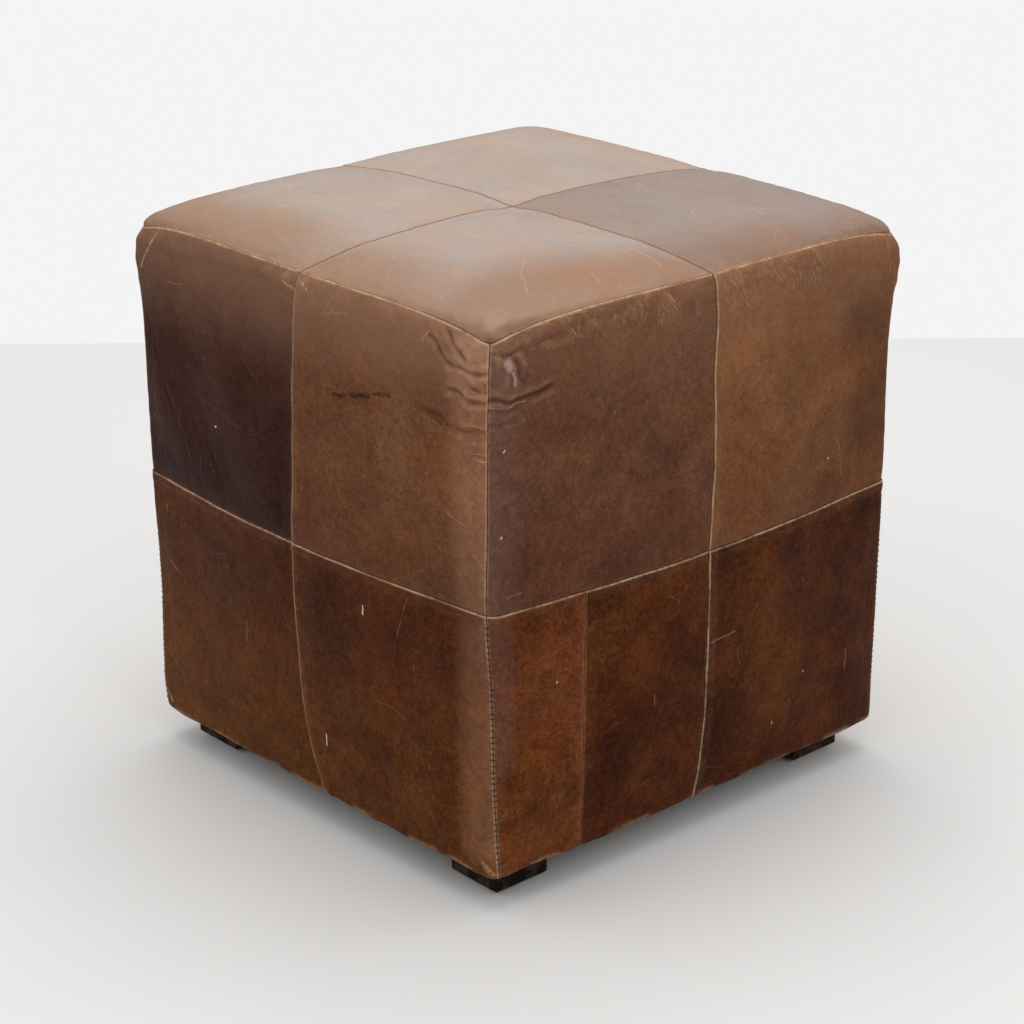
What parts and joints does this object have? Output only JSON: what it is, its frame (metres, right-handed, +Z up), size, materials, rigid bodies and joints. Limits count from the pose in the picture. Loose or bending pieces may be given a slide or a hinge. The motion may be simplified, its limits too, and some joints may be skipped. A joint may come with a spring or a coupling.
{
  "type": "leather cube pouf",
  "caption": "Cube footstool in pieced brown leather over foam and a timber frame, on low square block feet.",
  "frame": {"origin": "on the floor under the middle of the pouf", "axes": "+Z up, -Y towards the front side, +X towards the right side"},
  "size_m": [0.4754, 0.4754, 0.4945],
  "materials": {
    "leather_pale_tan": "rubbed pull-up leather, greyish sheen",
    "leather_mauve_tan": "rubbed pull-up leather, greyish sheen",
    "leather_purple_brown": "waxed, scratched, soft gloss",
    "leather_mid_brown": "waxed, scratched, soft gloss",
    "leather_orange_brown": "waxed, scratched, soft gloss",
    "leather_red_brown": "waxed, scratched, soft gloss",
    "leather_golden_brown": "waxed, scratched, soft gloss",
    "leather_dark_mottled": "waxed, blotchy, soft gloss",
    "foot_wood": "dark stain, satin",
    "frame_pine": "planed, unfinished",
    "dowel_beech": "planed, unfinished",
    "plywood": "sanded, unfinished",
    "hardboard": "smooth face",
    "zinc_steel": "zinc plated",
    "felt": "wool felt",
    "foam": "open-cell polyurethane foam",
    "batting": "polyester wadding",
    "dust_cloth": "black non-woven cloth",
    "waxed_thread": "waxed linen-like thread"
  },
  "bodies": {
    "root": {"back_panel_lower_left": "leather_golden_brown", "back_panel_lower_right": "leather_orange_brown", "back_panel_upper_left": "leather_mid_brown", "back_panel_upper_right": "leather_purple_brown", "batting_wrap": "batting", "board_nails": "zinc_steel", "bottom_rail_back": "frame_pine", "bottom_rail_front": "frame_pine", "bottom_rail_left": "frame_pine", "bottom_rail_right": "frame_pine", "corner_post_back_left": "frame_pine", "corner_post_back_right": "frame_pine", "corner_post_front_left": "frame_pine", "corner_post_front_right": "frame_pine", "corner_seam_thread": "waxed_thread", "cover_staples": "zinc_steel", "deck_screws": "zinc_steel", "deck_stretcher": "frame_pine", "dust_cloth_staples": "zinc_steel", "dust_cover": "dust_cloth", "felt_glides": "felt", "foot_back_left": "foot_wood", "foot_back_right": "foot_wood", "foot_front_left": "foot_wood", "foot_front_right": "foot_wood", "foot_screws": "zinc_steel", "front_panel_lower_left": "leather_orange_brown", "front_panel_lower_right": "leather_red_brown", "front_panel_upper_left": "leather_purple_brown", "front_panel_upper_right": "leather_mid_brown", "left_panel_lower_left": "leather_purple_brown", "left_panel_lower_right": "leather_mid_brown", "left_panel_upper_left": "leather_red_brown", "left_panel_upper_right": "leather_golden_brown", "rail_dowels": "dowel_beech", "right_panel_lower_left": "leather_dark_mottled", "right_panel_lower_left_strip": "leather_red_brown", "right_panel_lower_right": "leather_dark_mottled", "right_panel_upper_left": "leather_mid_brown", "right_panel_upper_right": "leather_golden_brown", "seat_deck": "plywood", "seat_foam": "foam", "side_board_back": "hardboard", "side_board_front": "hardboard", "side_board_left": "hardboard", "side_board_right": "hardboard", "side_foam_back": "foam", "side_foam_front": "foam", "side_foam_left": "foam", "side_foam_right": "foam", "stretcher_screws": "zinc_steel", "top_panel_back_left": "leather_pale_tan", "top_panel_back_right": "leather_mauve_tan", "top_panel_front_left": "leather_pale_tan", "top_panel_front_right": "leather_pale_tan", "top_rail_back": "frame_pine", "top_rail_front": "frame_pine", "top_rail_left": "frame_pine", "top_rail_right": "frame_pine"}
  },
  "joints": []
}
